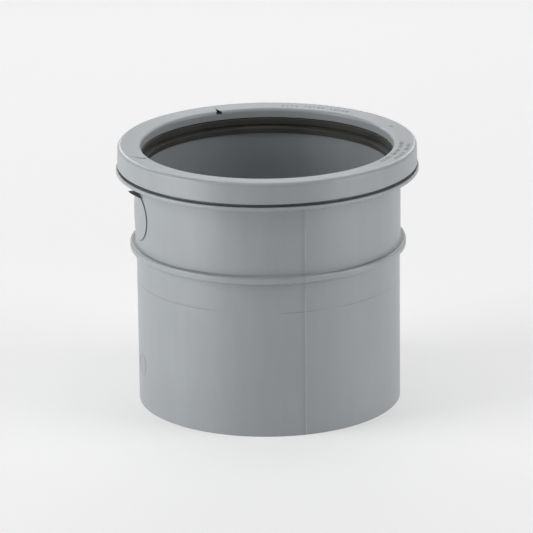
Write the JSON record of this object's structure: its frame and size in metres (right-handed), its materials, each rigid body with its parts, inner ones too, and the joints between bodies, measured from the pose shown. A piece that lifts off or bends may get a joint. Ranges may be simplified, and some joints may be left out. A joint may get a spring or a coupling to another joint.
{
  "type": "push fit coupling",
  "caption": "Straight grey soil-pipe coupling with a solvent socket below and a push-fit ring-seal socket under a clip-on cap above.",
  "frame": {"origin": "on the axis, in the plane of the lower end that the coupling stands on", "axes": "+Z along the axis, out of the push-fit end; +X and +Y are square to it, with the blank side pad near -X"},
  "size_m": [0.134, 0.134, 0.1175],
  "materials": {
    "pvc_grey": "satin moulded grey PVC-U",
    "rubber_black": "smooth black rubber"
  },
  "bodies": {
    "body": {"coupling_body": "pvc_grey"},
    "seal": {"seal_ring": "rubber_black"},
    "cap": {"retaining_cap": "pvc_grey"}
  },
  "joints": [
    {"name": "cap_lift", "type": "slide", "parent": "body", "child": "cap", "axis": [0, 0, 1], "range_m": [0, 0.04]},
    {"name": "seal_lift", "type": "slide", "parent": "body", "child": "seal", "axis": [0, 0, 1], "range_m": [0, 0.02]}
  ],
  "couplings": [
    {"joint": "seal_lift", "follows": "cap_lift", "ratio": 0.5}
  ]
}
